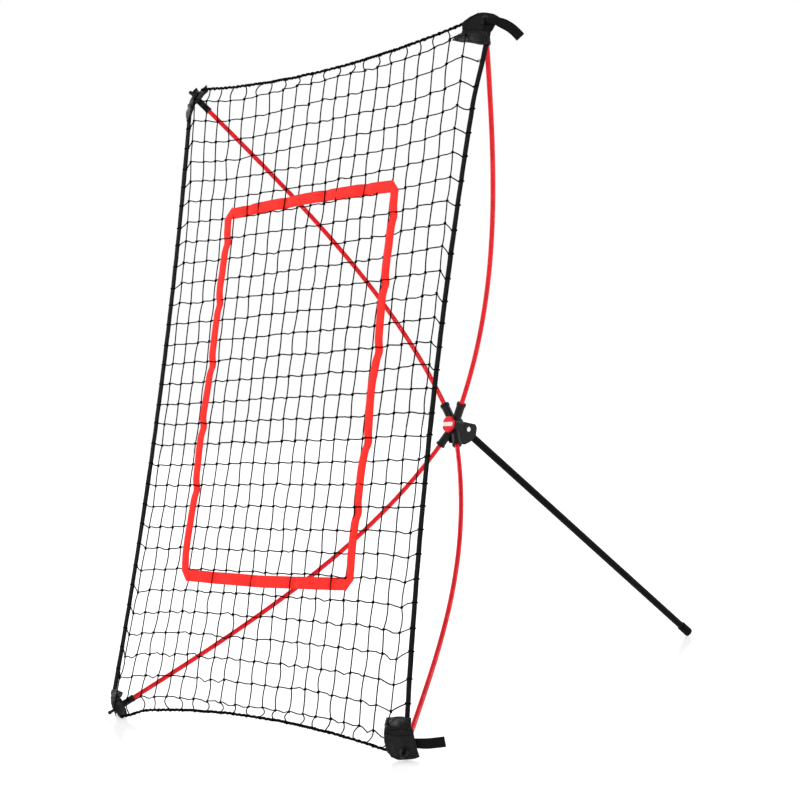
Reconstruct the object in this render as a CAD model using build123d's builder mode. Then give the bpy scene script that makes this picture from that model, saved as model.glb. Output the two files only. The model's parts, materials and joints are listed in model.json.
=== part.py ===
"""Pitching target net: a knotted net with a strike zone, held open by four bowed rods.

+Z is up, +Y is behind the net, and the origin is on the floor at the centre of the bounding box.
Sizes are in millimetres.  The net frame has u across the net, v up it, and w behind it.
"""
from build123d import *
from math import cos, radians, sin
import os

# Net: 21 upright cords and 30 level cords, one mesh apart
mesh = 34.5
half_width = 388.0          # net centre to a corner, along u
half_height = 541.0         # net centre to a corner, along v
edge_bow = 26.0             # how far each edge curves in at its middle
lean = 14.9                 # the net leans back by this angle
net_thickness = 1.5
belt_width = 12.0           # side bands
belt_thickness = 2.4
rope_radius = 2.2
edge_gap = 0.4              # between the cords' sheet and whatever borders it

# Strike zone: 17 inches wide inside its ribbons
zone_half_width = 6.5 * mesh
zone_half_height = 9.0 * mesh
ribbon_width = 17.5
ribbon_thickness = 1.0
ribbon_gap = 0.2

# Bowed rods and their sockets
rod_radius = 4.0
socket_length = 42.0
socket_floor = 14.0         # the blind end of each socket, from the hub's centre
socket_radius = 7.0
socket_rim = 1.0
socket_root = 5.0           # where the socket walls start, inside the boss
rim_length = 4.0
socket_tilt = 11.4          # sockets point forward of the net's plane
socket_angle = 57.8         # and this far above or below level, across the hub
rod_curve = 667.0           # length of each rod's curved stretch
rod_bend = 26.5             # how far it turns
curve_arcs = 5
rod_fit = 0.03
end_gap = 0.5               # between a rod's end and the blind end of its socket
sleeve_length = 40.0
sleeve_radius = 5.6
sleeve_depth = 26.0         # how far a rod goes into its end sleeve
shoulder_height = 3.3
pin_radius = 2.6
pin_length = 12.0
ball_step = 0.7             # how far the pin's ball stands out round it
tip_target = (380, 530, -351)   # from the hub's centre: u, v and w of a rod's end

# Corner patches, eyelets and pull tabs
patch_across = 44.0
patch_along = 46.0
patch_round = 8.0
patch_shift = -4.0          # the patch's middle, along the tab from the rod's end
patch_thickness = 2.4
fold_from = -24.0           # the fold between face and flap runs between these, along the tab
fold_to = 11.0
flap_u = 336.0              # inner corner of each patch's front flap
flap_v = 492.0
flap_ease = 4.0             # how far the flap covers the band and the rope
eyelet_bore = 3.6
eyelet_barrel = 4.6
eyelet_flange = 7.0
flange_thickness = 0.6
tab_length = 42.0
tab_width = 15.0
tab_thickness = 2.2
tab_gap = 0.3
tab_out = 0.78              # the tabs point out to the side and back in this ratio
tab_back = 0.626

# Hub and cap
boss_radius = 14.5
boss_front = 11.0
boss_back = 8.0
flange_top = 8.0
flange_bottom = -29.5
flange_round = 3.0
recess_radius = 8.2
recess_depth = 7.0
screw_radius = 2.5
screw_head = 4.6
head_sink = 2.2
nut_height = 3.5
nut_apothem = 4.0
cap_radius = 13.5
cap_height = 4.5
cap_edge = 1.2
spigot_length = 3.0
bar_width = 7.0
bar_depth = 0.9
fit_gap = 0.1
hole_gap = 0.02

# Leg bracket, pivot and leg
bracket_half_width = 10.5
cavity_half_width = 6.9
bracket_back = 41.0
bracket_top_end = 37.0      # the flat top ends here, and the back slopes down from bracket_shoulder
bracket_shoulder = 3.0
bracket_heel = -11.0
bracket_knee = (30.0, -23.0)
bracket_toe = 19.0
bracket_round = 2.5
cavity_front = 12.0
cavity_back = 37.0
cavity_top = 5.7
pivot_w = 22.0              # pivot behind the hub's centre, and below it
pivot_v = -3.0
pivot_radius = 3.0
pivot_fit = 0.07
head_radius = 4.3
head_height = 2.4
bolt_end = 3.0
nut_end = 1.5
nut_round = 1.2
head_side = 0.6             # height of the bolt head's straight side
leg_radius = 6.35
leg_wall = 1.2
leg_drop = 40.1             # angle of the leg below level
stop_gap = 0.15
leg_start = -5.5
plug_flange = 1.2
plug_length = 20.0
foot_radius = 8.0
foot_edge = 2.5
foot_length = 24.0
foot_sole = 5.9

# Where the net's centre stands, and the hub's centre in the net's frame
net_centre_y = -355.59
net_centre_z = 530.0
hub_w = 353.0
hub_v = -3.0

corners = {"upper_left": (-1, 1), "upper_right": (1, 1), "lower_left": (-1, -1), "lower_right": (1, -1)}
tab_rise = {"upper_left": 0.0, "upper_right": -36.0, "lower_left": 0.0, "lower_right": 0.0}
tab_lift = {"upper_left": 9.5, "upper_right": 2.0, "lower_left": 0.0, "lower_right": 9.0}

across = Vector(1, 0, 0)
upright = Vector(0, 0, 1)
up_net = Vector(0, sin(radians(lean)), cos(radians(lean)))
behind = Vector(0, cos(radians(lean)), -sin(radians(lean)))
net_centre = Vector(0, net_centre_y, net_centre_z)
net_plane = Plane(origin=net_centre, x_dir=across, z_dir=-behind)


def at(u, v, w):
    """The world point at u, v, w in the net's frame."""
    return net_centre + across * u + up_net * v + behind * w


hub_centre = at(0, hub_v, hub_w)
hub_plane = Plane(origin=hub_centre, x_dir=across, z_dir=-behind)
side_plane = Plane(origin=hub_centre, x_dir=behind, z_dir=across)


def belt_u(v):
    """Distance of a side band's centre line from the middle, at height v."""
    return half_width - edge_bow + edge_bow * (v / half_height) ** 2


def rope_v(u):
    """Distance of a border rope's centre line from the middle, at u."""
    return half_height - edge_bow + edge_bow * (u / half_width) ** 2


def socket_axis(su, sv):
    """The direction of a hub socket, outwards."""
    level = cos(radians(socket_tilt))
    flat = across * (su * cos(radians(socket_angle))) + up_net * (sv * sin(radians(socket_angle)))
    return flat * level - behind * sin(radians(socket_tilt))


def bend_side(su, sv):
    """The direction, square to a socket's axis, that its rod bends towards."""
    axis = socket_axis(su, sv)
    target = across * (su * tip_target[0]) + up_net * (sv * tip_target[1]) + behind * tip_target[2]
    return (target - axis * target.dot(axis)).normalized()


def rod_stations():
    """Start, angle and turn of each arc of a rod, then its end: along the socket and to its side."""
    along = socket_length
    aside = 0.0
    angle = 0.0
    rows = []
    for k in range(curve_arcs):
        turn = rod_bend * (2 * (curve_arcs - k) - 1) / curve_arcs ** 2
        rows.append((along, aside, angle, turn))
        chord = 2 * rod_curve / curve_arcs / radians(turn) * sin(radians(turn / 2))
        along += chord * cos(radians(angle + turn / 2))
        aside += chord * sin(radians(angle + turn / 2))
        angle += turn
    return rows, (along, aside)


stations, (end_along, end_aside) = rod_stations()
bend_cos = cos(radians(rod_bend))
bend_sin = sin(radians(rod_bend))
tip_along = end_along + sleeve_length * bend_cos
tip_aside = end_aside + sleeve_length * bend_sin


def tab_level(su):
    """The level direction of a pull tab, out to the side and back."""
    return Vector(su * tab_out, tab_back, 0).normalized()


def tip_axis(su, sv):
    """The direction of a rod's end, outwards."""
    return socket_axis(su, sv) * bend_cos + bend_side(su, sv) * bend_sin


def tip_plane(su, sv):
    """A plane at a rod's tip, with +z along the rod's end and +x out and back, along the tab."""
    axis = tip_axis(su, sv)
    outwards = tab_level(su)
    origin = hub_centre + socket_axis(su, sv) * tip_along + bend_side(su, sv) * tip_aside
    return Plane(origin=origin, x_dir=outwards - axis * outwards.dot(axis), z_dir=axis)


def save(piece, name):
    piece.part.label = name
    export_step(piece.part, f"parts/{name}.step")


os.makedirs("parts", exist_ok=True)

# Net panel: the knotted cords as one thin sheet with curved edges and notched corners
inner = belt_width / 2 + edge_gap
under = rope_radius + edge_gap
notch_u = flap_u - 1
notch_v = flap_v - 1
side_end = belt_u(notch_v) - inner
top_end = rope_v(notch_u) - under
with BuildPart() as net_panel:
    with BuildSketch(net_plane.offset(-net_thickness / 2)):
        with BuildLine():
            for su in (-1, 1):
                middle = (su * (belt_u(0) - inner), 0)
                ThreePointArc((su * side_end, -notch_v), middle, (su * side_end, notch_v))
            for sv in (-1, 1):
                middle = (0, sv * (rope_v(0) - under))
                ThreePointArc((-notch_u, sv * top_end), middle, (notch_u, sv * top_end))
            for su, sv in corners.values():
                notch = (su * notch_u, sv * notch_v)
                Polyline((su * side_end, sv * notch_v), notch, (su * notch_u, sv * top_end))
        make_face()
    extrude(amount=net_thickness)
save(net_panel, "net_panel")

# Side bands: woven tape along the net's edges, up to the corner patches
belt_end = flap_v - edge_gap
for name, su in (("side_band_left", -1), ("side_band_right", 1)):
    with BuildPart() as side_band:
        with BuildSketch(net_plane.offset(-belt_thickness / 2)):
            with BuildLine():
                near = su * (belt_u(belt_end) - belt_width / 2)
                far = su * (belt_u(belt_end) + belt_width / 2)
                ThreePointArc((near, -belt_end), (su * (belt_u(0) - belt_width / 2), 0), (near, belt_end))
                ThreePointArc((far, -belt_end), (su * (belt_u(0) + belt_width / 2), 0), (far, belt_end))
                Line((near, -belt_end), (far, -belt_end))
                Line((near, belt_end), (far, belt_end))
            make_face()
        extrude(amount=belt_thickness)
    save(side_band, name)

# Border ropes along the top and the bottom
rope_end = flap_u - edge_gap
for name, sv in (("border_rope_top", 1), ("border_rope_bottom", -1)):
    with BuildPart() as border_rope:
        with BuildLine() as rope_line:
            start = at(-rope_end, sv * rope_v(rope_end), 0)
            ThreePointArc(start, at(0, sv * rope_v(0), 0), at(rope_end, sv * rope_v(rope_end), 0))
        with BuildSketch(Plane(origin=rope_line.line @ 0, z_dir=rope_line.line % 0)):
            Circle(rope_radius)
        sweep(path=rope_line.line)
    save(border_rope, name)

# Strike zone: four ribbons on the front of the net
zone_width = 2 * zone_half_width + ribbon_width
zone_inside = 2 * zone_half_height - ribbon_width - 2 * ribbon_gap
ribbons = {
    "zone_ribbon_top": (0, zone_half_height, zone_width, ribbon_width),
    "zone_ribbon_bottom": (0, -zone_half_height, zone_width, ribbon_width),
    "zone_ribbon_left": (-zone_half_width, 0, ribbon_width, zone_inside),
    "zone_ribbon_right": (zone_half_width, 0, ribbon_width, zone_inside),
}
for name, (u, v, width, height) in ribbons.items():
    with BuildPart() as zone_ribbon:
        with BuildSketch(net_plane.offset(net_thickness / 2 + ribbon_gap)):
            with Locations((u, v)):
                Rectangle(width, height)
        extrude(amount=ribbon_thickness)
    save(zone_ribbon, name)

# Rods: bowed fibreglass, from inside the hub's sockets to inside their end sleeves
rod_start = socket_floor + end_gap
for name, (su, sv) in corners.items():
    axis = socket_axis(su, sv)
    with BuildPart() as rod:
        with BuildLine(Plane(origin=hub_centre, x_dir=axis, z_dir=axis.cross(bend_side(su, sv)))) as rod_line:
            Line((rod_start, 0), (socket_length, 0))
            for along, aside, angle, turn in stations:
                heading = (cos(radians(angle)), sin(radians(angle)))
                radius = rod_curve / curve_arcs / radians(turn)
                JernArc(start=(along, aside), tangent=heading, radius=radius, arc_size=turn)
            last = (end_along + sleeve_depth * bend_cos, end_aside + sleeve_depth * bend_sin)
            Line((end_along, end_aside), last)
        with BuildSketch(Plane(origin=rod_line.line @ 0, z_dir=rod_line.line % 0)):
            Circle(rod_radius)
        sweep(path=rod_line.line)
    save(rod, f"rod_{name}")

# End sleeves: moulded caps on the rods, with a shoulder and a ball-ended pin
for name, (su, sv) in corners.items():
    tip = tip_plane(su, sv)
    below = flange_thickness + fit_gap
    with BuildPart() as end_sleeve:
        with BuildSketch(tip.offset(-sleeve_length)):
            Circle(sleeve_radius)
        extrude(amount=sleeve_length - below)
        with BuildSketch(tip.offset(-below - shoulder_height)):
            Circle(eyelet_flange)
        extrude(amount=shoulder_height)
        with BuildSketch(tip.offset(-below)):
            Circle(pin_radius)
        extrude(amount=pin_length)
        with Locations(tip.offset(pin_length - below).location):
            Sphere(pin_radius + ball_step)
        with BuildSketch(tip.offset(-sleeve_length)):
            Circle(rod_radius + rod_fit)
        extrude(amount=sleeve_depth + fit_gap, mode=Mode.SUBTRACT)
    save(end_sleeve, f"end_sleeve_{name}")

# Corner patches: coated cloth, a face around the rod's tip and a flap in the net's plane
for name, (su, sv) in corners.items():
    tip = tip_plane(su, sv)
    fold_ends = []
    for along in (fold_to, fold_from):
        point = tip.origin + tip.x_dir * along + tip.z_dir * (patch_thickness / 2) - net_centre
        fold_ends.append(point - tip.y_dir * (point.dot(behind) / tip.y_dir.dot(behind)))
    with BuildPart() as corner_patch:
        with BuildSketch(net_plane.offset(-patch_thickness / 2)):
            with BuildLine():
                Polyline(
                    (su * flap_u, sv * flap_v),
                    (su * (belt_u(flap_v) + flap_ease), sv * flap_v),
                    (fold_ends[0].dot(across), fold_ends[0].dot(up_net)),
                    (fold_ends[1].dot(across), fold_ends[1].dot(up_net)),
                    (su * flap_u, sv * (rope_v(flap_u) + flap_ease)),
                    close=True,
                )
            make_face()
        extrude(amount=patch_thickness)
        with BuildSketch(tip.offset(-sleeve_length)):
            Circle(eyelet_flange + edge_gap)
        extrude(amount=2 * sleeve_length, mode=Mode.SUBTRACT)
        with BuildSketch(tip):
            with Locations((patch_shift, 0)):
                RectangleRounded(patch_across, patch_along, patch_round)
            Circle(eyelet_barrel + hole_gap, mode=Mode.SUBTRACT)
        extrude(amount=patch_thickness)
        with BuildSketch(Plane.XY.offset(-half_width)):
            with Locations((0, net_centre_y)):
                Rectangle(4 * half_width, 4 * half_width)
        extrude(amount=half_width, mode=Mode.SUBTRACT)
    save(corner_patch, f"corner_patch_{name}")

# Eyelets: pressed rings through the patches
for name, (su, sv) in corners.items():
    tip = tip_plane(su, sv)
    with BuildPart() as eyelet:
        with BuildSketch(tip.offset(-flange_thickness)):
            Circle(eyelet_flange)
        extrude(amount=flange_thickness)
        with BuildSketch(tip):
            Circle(eyelet_barrel)
        extrude(amount=patch_thickness)
        with BuildSketch(tip.offset(patch_thickness)):
            Circle(eyelet_flange)
        extrude(amount=flange_thickness)
        with BuildSketch(tip.offset(-pin_length)):
            Circle(eyelet_bore)
        extrude(amount=2 * pin_length, mode=Mode.SUBTRACT)
    save(eyelet, f"eyelet_{name}")

# Pull tabs: webbing on edge, out and back from each patch
for name, (su, sv) in corners.items():
    tip = tip_plane(su, sv)
    rise = radians(tab_rise[name])
    clear = patch_shift + patch_across / 2 + tab_gap + tab_width / 2 * abs(sin(rise))
    root = tip.origin + tip.x_dir * clear + upright * tab_lift[name]
    run = tab_level(su) * cos(rise) + upright * sin(rise)
    with BuildPart() as pull_tab:
        with BuildSketch(Plane(origin=root, x_dir=tab_level(su).cross(upright), z_dir=run)):
            Rectangle(tab_thickness, tab_width)
        extrude(amount=tab_length)
    save(pull_tab, f"pull_tab_{name}")

# Hub: a moulded cross with four blind sockets, a boss for the cap and a flange for the bracket
with BuildPart() as hub_body:
    with BuildSketch(hub_plane.offset(-boss_back)):
        Circle(boss_radius)
    extrude(amount=boss_back + boss_front)
    with BuildSketch(hub_plane.offset(-boss_back)):
        with Locations((0, (flange_top + flange_bottom) / 2)):
            RectangleRounded(2 * bracket_half_width, flange_top - flange_bottom, flange_round)
    extrude(amount=boss_back)
    for su, sv in corners.values():
        arm = Plane(origin=hub_centre, z_dir=socket_axis(su, sv))
        with BuildSketch(arm.offset(socket_root)):
            Circle(socket_radius)
        extrude(amount=socket_length - socket_root)
        with BuildSketch(arm.offset(socket_length - rim_length)):
            Circle(socket_radius + socket_rim)
        extrude(amount=rim_length)
    with BuildSketch(hub_plane.offset(-boss_back)):
        Circle(2 * boss_radius)
    extrude(amount=-boss_back, mode=Mode.SUBTRACT)
    for su, sv in corners.values():
        with BuildSketch(Plane(origin=hub_centre, z_dir=socket_axis(su, sv)).offset(socket_floor)):
            Circle(rod_radius + rod_fit)
        extrude(amount=socket_length, mode=Mode.SUBTRACT)
    with BuildSketch(hub_plane.offset(boss_front)):
        Circle(recess_radius)
    extrude(amount=-recess_depth, mode=Mode.SUBTRACT)
    with BuildSketch(hub_plane.offset(boss_front)):
        Circle(screw_radius + hole_gap)
    extrude(amount=-boss_front - boss_back, mode=Mode.SUBTRACT)
save(hub_body, "hub_body")

# Cap: a round push-in cover with a plain bar let into its face
cap_base = boss_front + fit_gap
with BuildPart() as hub_cap:
    with BuildSketch(hub_plane.offset(cap_base)):
        Circle(cap_radius)
    extrude(amount=cap_height)
    fillet(hub_cap.faces().sort_by(Axis(hub_centre, -behind))[-1].edges(), cap_edge)
    with BuildSketch(hub_plane.offset(cap_base)):
        Circle(recess_radius - fit_gap)
    extrude(amount=-spigot_length)
    with BuildSketch(hub_plane.offset(cap_base + cap_height)):
        Rectangle(2 * cap_radius, bar_width)
    extrude(amount=-bar_depth, mode=Mode.SUBTRACT)
save(hub_cap, "hub_cap")

with BuildPart() as cap_bar:
    with BuildSketch(hub_plane.offset(cap_base + cap_height - bar_depth)):
        Circle(cap_radius - cap_edge)
        Rectangle(2 * cap_radius, bar_width - fit_gap, mode=Mode.INTERSECT)
    extrude(amount=bar_depth - fit_gap)
save(cap_bar, "cap_bar")

# Screw from inside the bracket, and its nut under the cap
with BuildPart() as hub_screw:
    with BuildSketch(hub_plane.offset(fit_gap - cavity_front)):
        Circle(screw_head)
    with BuildSketch(hub_plane.offset(head_sink - cavity_front)):
        Circle(screw_radius)
    loft()
    with BuildSketch(hub_plane.offset(head_sink - cavity_front)):
        Circle(screw_radius)
    extrude(amount=cavity_front - head_sink + boss_front - spigot_length)
save(hub_screw, "hub_screw")

with BuildPart() as hub_nut:
    with BuildSketch(hub_plane.offset(boss_front - recess_depth)):
        RegularPolygon(nut_apothem, 6, major_radius=False)
        Circle(screw_radius + hole_gap, mode=Mode.SUBTRACT)
    extrude(amount=nut_height)
save(hub_nut, "hub_nut")

# Leg bracket: a fork behind the hub, closed above and behind, where it stops the leg
leg_angle = radians(leg_drop - lean)
along_leg = (cos(leg_angle), -sin(leg_angle))
over_leg = (sin(leg_angle), cos(leg_angle))


def stop_v(w):
    """Height of the leg's upper side at w, with the gap that the stop keeps."""
    start_w = pivot_w + (leg_radius + stop_gap) * over_leg[0]
    start_v = pivot_v + (leg_radius + stop_gap) * over_leg[1]
    return start_v + (w - start_w) * along_leg[1] / along_leg[0]


bracket_front = boss_back + fit_gap
with BuildPart() as leg_bracket:
    with BuildSketch(side_plane.offset(-bracket_half_width)):
        with BuildLine():
            Polyline(
                (bracket_front, flange_top), (bracket_top_end, flange_top), (bracket_back, bracket_shoulder),
                (bracket_back, bracket_heel), bracket_knee, (bracket_toe, flange_bottom),
                (bracket_front, flange_bottom), close=True,
            )
        make_face()
        fillet(vertices().sort_by(Axis.X)[2:], bracket_round)
    extrude(amount=2 * bracket_half_width)
    with BuildSketch(side_plane.offset(-cavity_half_width)):
        with BuildLine():
            Polyline(
                (cavity_front, cavity_top), (cavity_back, cavity_top), (cavity_back, stop_v(cavity_back)),
                (2 * bracket_back, stop_v(2 * bracket_back)), (2 * bracket_back, 2 * flange_bottom),
                (cavity_front, 2 * flange_bottom), close=True,
            )
        make_face()
    extrude(amount=2 * cavity_half_width, mode=Mode.SUBTRACT)
    with BuildSketch(side_plane.offset(-2 * bracket_half_width)):
        with Locations((pivot_w, pivot_v)):
            Circle(pivot_radius + hole_gap)
    extrude(amount=4 * bracket_half_width, mode=Mode.SUBTRACT)
    with BuildSketch(hub_plane.offset(-cavity_front)):
        Circle(screw_head + hole_gap + fit_gap)
    with BuildSketch(hub_plane.offset(head_sink - cavity_front)):
        Circle(screw_radius + hole_gap)
    loft(mode=Mode.SUBTRACT)
    with BuildSketch(hub_plane.offset(-cavity_front)):
        Circle(screw_radius + hole_gap)
    extrude(amount=cavity_front, mode=Mode.SUBTRACT)
save(leg_bracket, "leg_bracket")

# Pivot bolt with a domed head, and its domed nut
pivot = at(0, hub_v + pivot_v, hub_w + pivot_w)
pivot_plane = Plane(origin=pivot, x_dir=behind, z_dir=across)
with BuildPart() as pivot_bolt:
    with BuildSketch(pivot_plane.offset(-bracket_half_width - bolt_end)):
        Circle(pivot_radius)
    extrude(amount=2 * bracket_half_width + bolt_end + fit_gap)
    with BuildSketch(pivot_plane.offset(bracket_half_width + fit_gap)):
        Circle(head_radius)
    extrude(amount=head_height)
    fillet(pivot_bolt.faces().sort_by(Axis.X)[-1].edges(), head_height - head_side)
save(pivot_bolt, "pivot_bolt")

with BuildPart() as pivot_nut:
    with BuildSketch(pivot_plane.offset(-bracket_half_width - fit_gap)):
        RegularPolygon(head_radius, 6, major_radius=False)
    extrude(amount=-bolt_end - nut_end)
    with BuildSketch(pivot_plane.offset(-bracket_half_width)):
        Circle(pivot_radius + hole_gap)
    extrude(amount=-bolt_end - fit_gap, mode=Mode.SUBTRACT)
    fillet(pivot_nut.faces().sort_by(Axis.X)[0].edges(), nut_round)
save(pivot_nut, "pivot_nut")

# Leg: a steel tube with a plug at the pivot and a rubber foot on the floor
leg_dir = behind * along_leg[0] + up_net * along_leg[1]
leg_plane = Plane(origin=pivot, x_dir=across, z_dir=leg_dir)
drop = radians(leg_drop)
rim_height = foot_edge + (foot_radius - foot_edge) * cos(drop) - foot_edge * sin(drop)
leg_length = (pivot.Z - rim_height) / sin(drop)
tube_end = leg_length - foot_sole - fit_gap
tube_start = leg_start + plug_flange
bore_across = 2 * leg_radius
with BuildPart() as leg_tube:
    with BuildSketch(leg_plane.offset(tube_start)):
        Circle(leg_radius)
        Circle(leg_radius - leg_wall, mode=Mode.SUBTRACT)
    extrude(amount=tube_end - tube_start)
    with BuildSketch(pivot_plane.offset(-bore_across)):
        Circle(pivot_radius + pivot_fit)
    extrude(amount=2 * bore_across, mode=Mode.SUBTRACT)
save(leg_tube, "leg_tube")

with BuildPart() as leg_plug:
    with BuildSketch(leg_plane.offset(leg_start)):
        Circle(leg_radius)
    extrude(amount=plug_flange)
    with BuildSketch(leg_plane.offset(leg_start)):
        Circle(leg_radius - leg_wall - fit_gap / 2)
    extrude(amount=plug_length)
    with BuildSketch(pivot_plane.offset(-bore_across)):
        Circle(pivot_radius + pivot_fit)
    extrude(amount=2 * bore_across, mode=Mode.SUBTRACT)
save(leg_plug, "leg_plug")

with BuildPart() as foot_cap:
    with BuildSketch(leg_plane.offset(leg_length - foot_length)):
        Circle(foot_radius)
    extrude(amount=foot_length)
    fillet(foot_cap.faces().sort_by(Axis(pivot, leg_dir))[-1].edges(), foot_edge)
    with BuildSketch(leg_plane.offset(leg_length - foot_length)):
        Circle(leg_radius + rod_fit)
    extrude(amount=foot_length - foot_sole, mode=Mode.SUBTRACT)
save(foot_cap, "foot_cap")
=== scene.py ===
"""Pitching target net: knotted net on four bowed rods, seen three-quarter from the front."""
import json
import math
import random

import bpy
from mathutils import Matrix, Vector, noise


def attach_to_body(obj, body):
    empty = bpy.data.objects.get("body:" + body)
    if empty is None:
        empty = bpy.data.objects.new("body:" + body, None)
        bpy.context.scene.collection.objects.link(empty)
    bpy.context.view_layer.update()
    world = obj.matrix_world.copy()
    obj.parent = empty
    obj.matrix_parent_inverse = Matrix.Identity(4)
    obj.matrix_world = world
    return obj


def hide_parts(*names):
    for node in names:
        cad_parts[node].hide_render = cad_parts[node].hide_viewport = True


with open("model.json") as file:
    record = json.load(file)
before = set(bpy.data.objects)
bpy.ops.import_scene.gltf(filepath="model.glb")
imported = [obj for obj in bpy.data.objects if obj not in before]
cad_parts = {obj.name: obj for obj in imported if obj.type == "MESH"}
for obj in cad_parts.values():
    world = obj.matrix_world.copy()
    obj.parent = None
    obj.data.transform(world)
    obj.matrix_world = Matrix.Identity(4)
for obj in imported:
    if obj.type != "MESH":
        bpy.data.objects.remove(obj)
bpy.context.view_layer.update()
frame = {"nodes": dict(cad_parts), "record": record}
rng = random.Random(41)

# The net's frame: u across, v up the net, w behind it, in metres
MESH = 0.0345
LEAN = math.radians(14.9)
CENTRE = Vector((0.0, -0.35559, 0.530))
ACROSS = Vector((1, 0, 0))
UP = Vector((0, math.sin(LEAN), math.cos(LEAN)))
BACK = Vector((0, math.cos(LEAN), -math.sin(LEAN)))
COLS = 21
ROWS = 30
MIDDLE_COL = (COLS + 1) / 2
MIDDLE_ROW = (ROWS + 1) / 2
SIDE = 10 * MESH                # how far the outer cords are from the middle, and the height
HEIGHT = 13.5 * MESH            # that the pull of the corners is reckoned against
CORD = 0.00103
KNOT = 0.0024
KINK = 0.0009
LAY = 1.25
BAND_DROP = 0.008               # cords meet the right band lower than they leave their last knots
SLUMP = 0.0045                  # the top rows hang low at both sides
LIFT = 0.0025                   # the right side's rows stand high below them
DIP = 0.0085                    # the lower rope leaves the left patch low
ROPE_REACH = 0.356
ROPE_STEPS = 240
ROPE = 0.0019
LASHING = 0.0006
LASHING_OUT = 0.0022
BAND_REACH = 0.512
BAND_STEPS = 160
HALF_WIDTH = 0.388
HALF_HEIGHT = 0.541
EDGE_BOW = 0.026
CORNERS = {"upper_left": (-1, 1), "upper_right": (1, 1), "lower_left": (-1, -1), "lower_right": (1, -1)}


def at(u, v, w=0.0):
    """The world point at u, v, w in the net's frame."""
    return CENTRE + ACROSS * u + UP * v + BACK * w


def direction(u, v, w):
    """The world direction u, v, w in the net's frame."""
    return ACROSS * u + UP * v + BACK * w


def smooth(t):
    """A smooth step from 0 at t = 0 to 1 at t = 1."""
    t = min(1.0, max(0.0, t))
    return t * t * (3 - 2 * t)


def belly(u, v):
    """How far behind the net's plane the cords hang: the corners are drawn forwards."""
    return MESH * (0.08 - 0.36 * min(1.15, abs(u) / SIDE) * (abs(v) / HEIGHT) ** 2.5)


def belt_u(v):
    """How far out the side bands are at v."""
    return HALF_WIDTH - EDGE_BOW + EDGE_BOW * (v / HALF_HEIGHT) ** 2


def rope_v(u):
    """How far out the border ropes are at u."""
    return HALF_HEIGHT - EDGE_BOW + EDGE_BOW * (u / HALF_WIDTH) ** 2


def rope_place(u, sv):
    """How far up the border rope is at u. The lower one leaves the left patch low."""
    dip = DIP * (1 - smooth((u + ROPE_REACH) / 0.085)) if sv < 0 else 0.0
    return sv * rope_v(u) - dip


def warp(u, v):
    """Where the point u, v of the slack, square net is once the rods stretch it."""
    high = abs(v) / HEIGHT
    wide = abs(u) / SIDE
    pulled_u = u * (0.985 + (0.038 if v > 0 else 0.05) * high ** 2)
    pulled_v = v + math.copysign(0.55 * MESH * (abs(v) / (14 * MESH)) ** 2 * wide ** 4, v)
    pulled_v -= SLUMP * smooth((v - 0.33) / 0.08) * smooth(abs(u) / 0.22)
    pulled_v += LIFT * smooth((u - 0.18) / 0.12) * smooth((0.30 - v) / 0.10)
    return at(pulled_u, pulled_v, belly(u, v))


# ---------------------------------------------------------------- mesh helpers

def new_object(name, verts, faces, smooth_shade=True):
    """A mesh object in the scene."""
    mesh = bpy.data.meshes.new(name)
    mesh.from_pydata([tuple(v) for v in verts], [], faces)
    mesh.validate()
    mesh.update()
    if smooth_shade:
        mesh.polygons.foreach_set("use_smooth", [True] * len(mesh.polygons))
    obj = bpy.data.objects.new(name, mesh)
    bpy.context.scene.collection.objects.link(obj)
    return obj


def frames_along(points, up):
    """A side and an upper direction at each point of a path, turning as little as it can."""
    out = []
    side = None
    for i in range(len(points)):
        a = points[max(0, i - 1)]
        b = points[min(len(points) - 1, i + 1)]
        t = (b - a).normalized()
        if side is None:
            side = t.cross(up)
            if side.length < 1e-6:
                side = t.orthogonal()
        side = (side - t * side.dot(t)).normalized()
        out.append((t, side, side.cross(t).normalized()))
    return out


def tube(verts, faces, points, radius, sides=6, up=BACK):
    """Adds a round tube with closed ends along points to the lists verts and faces."""
    base = len(verts)
    rows = frames_along(points, up)
    for p, (_, side, over) in zip(points, rows):
        for k in range(sides):
            ang = 2 * math.pi * k / sides
            verts.append(p + side * (radius * math.cos(ang)) + over * (radius * math.sin(ang)))
    for i in range(len(points) - 1):
        for k in range(sides):
            a = base + i * sides + k
            b = base + i * sides + (k + 1) % sides
            faces.append((a, b, b + sides, a + sides))
    faces.append(tuple(base + k for k in reversed(range(sides))))
    last = base + (len(points) - 1) * sides
    faces.append(tuple(last + k for k in range(sides)))


def blob(verts, faces, centre, axes, rough):
    """Adds a small lumpy knot with the three half-axes given."""
    base = len(verts)
    rings = 4
    sides = 7
    verts.append(centre + axes[2])
    for i in range(1, rings):
        phi = math.pi * i / rings
        for k in range(sides):
            ang = 2 * math.pi * (k + 0.5 * (i % 2)) / sides
            r = math.sin(phi) * (1 + rough * (rng.random() - 0.5))
            across = axes[0] * (r * math.cos(ang)) + axes[1] * (r * math.sin(ang))
            verts.append(centre + across + axes[2] * math.cos(phi))
    verts.append(centre - axes[2])
    for k in range(sides):
        faces.append((base, base + 1 + k, base + 1 + (k + 1) % sides))
        end = base + 1 + (rings - 2) * sides
        faces.append((base + 1 + (rings - 1) * sides, end + (k + 1) % sides, end + k))
    for i in range(rings - 2):
        for k in range(sides):
            a = base + 1 + i * sides + k
            b = base + 1 + i * sides + (k + 1) % sides
            faces.append((a, a + sides, b + sides, b))


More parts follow.
